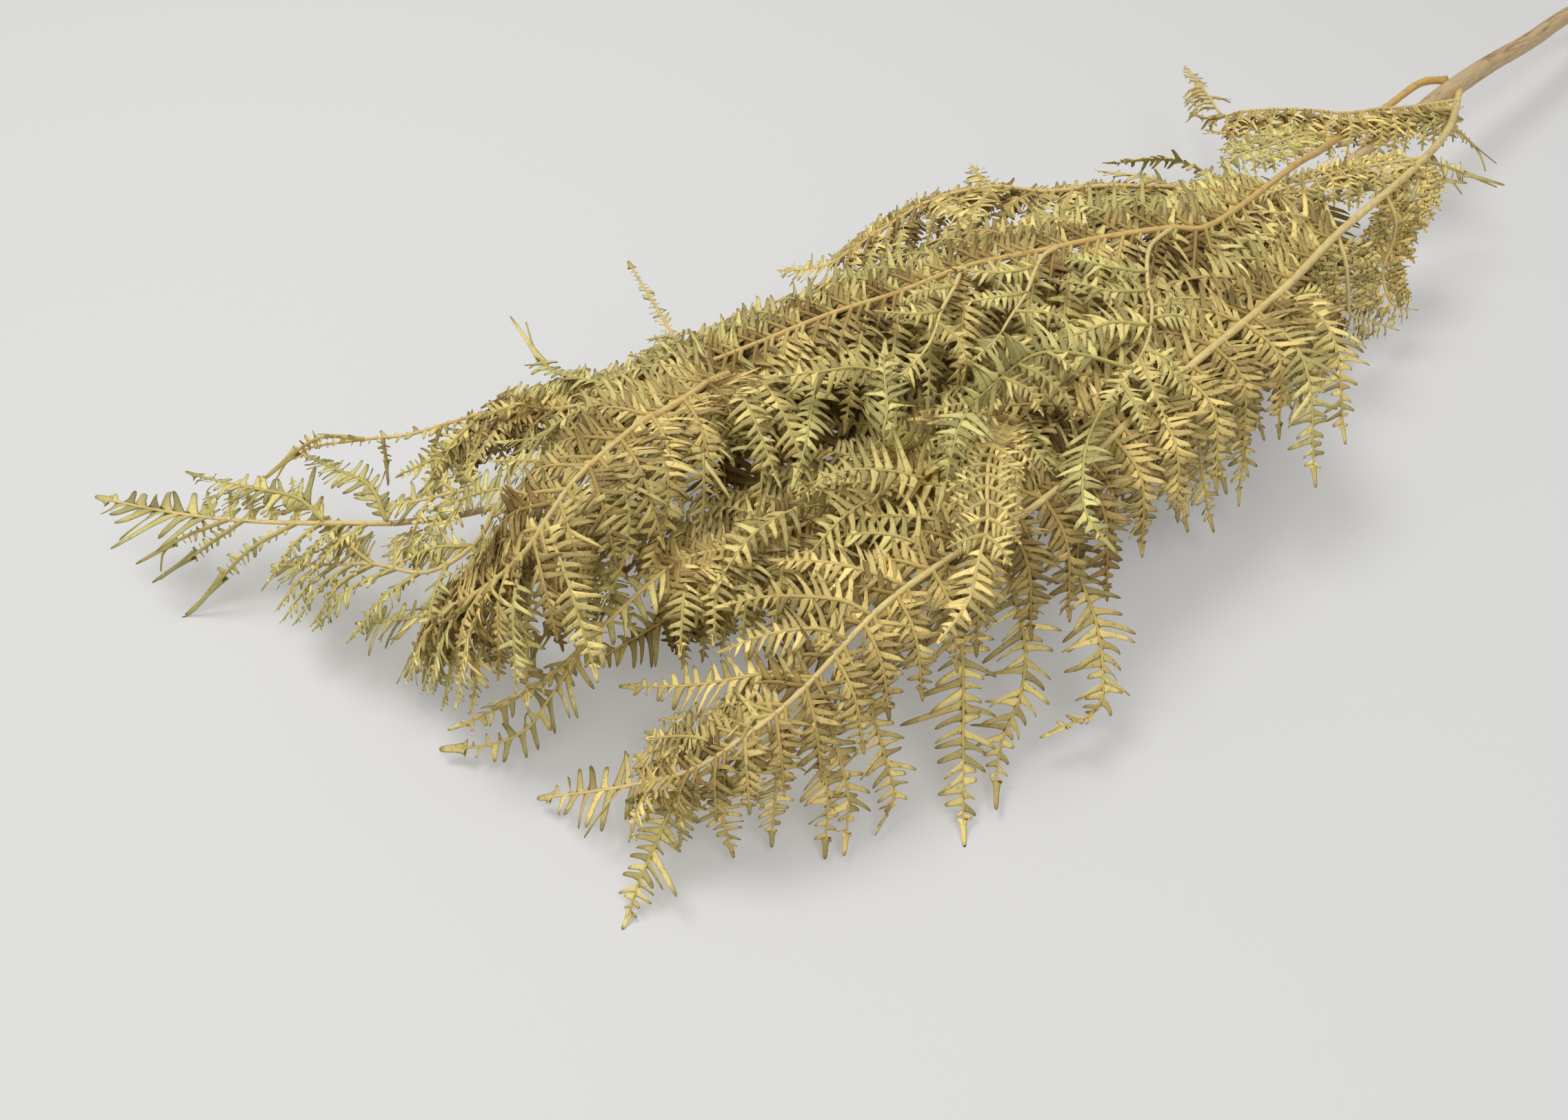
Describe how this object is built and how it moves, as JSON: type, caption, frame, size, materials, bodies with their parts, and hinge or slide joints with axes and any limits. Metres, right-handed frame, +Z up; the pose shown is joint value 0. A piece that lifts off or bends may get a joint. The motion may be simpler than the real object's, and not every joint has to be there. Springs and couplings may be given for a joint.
{
  "type": "dried bracken frond",
  "caption": "Large dried fern frond lying on a table: a round stem, long drooping side sprays and thin feathers cut into leaflets.",
  "frame": {"origin": "on the table, under the middle of the frond's bounding box", "axes": "+X along the frond from its tip to the cut stem, +Y to its far side, +Z up from the table"},
  "size_m": [0.7808, 0.268, 0.0883],
  "materials": {
    "stem": "matte",
    "leaf": "matte"
  },
  "bodies": {
    "root": {"main_stem": "stem", "near_pinna_1": "leaf", "far_pinna_1": "leaf", "near_pinna_2": "leaf", "far_pinna_2": "leaf", "near_pinna_3": "leaf", "far_pinna_3": "leaf", "near_pinna_4": "leaf", "far_pinna_4": "leaf", "near_pinna_5": "leaf", "far_pinna_5": "leaf", "near_pinna_6": "leaf", "near_pinna_7": "leaf", "frond_tip": "leaf"}
  },
  "joints": []
}
